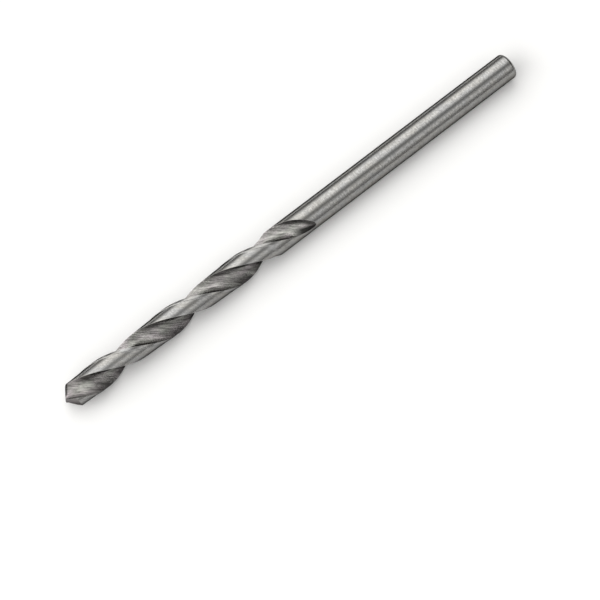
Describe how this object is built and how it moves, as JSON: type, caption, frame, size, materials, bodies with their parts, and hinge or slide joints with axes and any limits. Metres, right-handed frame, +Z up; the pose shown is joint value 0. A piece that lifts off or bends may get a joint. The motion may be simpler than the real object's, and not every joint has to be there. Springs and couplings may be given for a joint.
{
  "type": "twist drill bit",
  "caption": "Slim ground-steel twist drill bit: plain cylindrical shank, right-hand helical flutes with ground margins, and a relieved conical point with a chisel edge.",
  "frame": {"origin": "centre of the shank's end face, on the drill's axis", "axes": "+X along the drill's axis from the shank's end to the point, +Z up as the drill lies"},
  "size_m": [0.061, 0.003, 0.003],
  "materials": {
    "steel": "ground"
  },
  "bodies": {
    "root": {"drill_bit": "steel"}
  },
  "joints": []
}
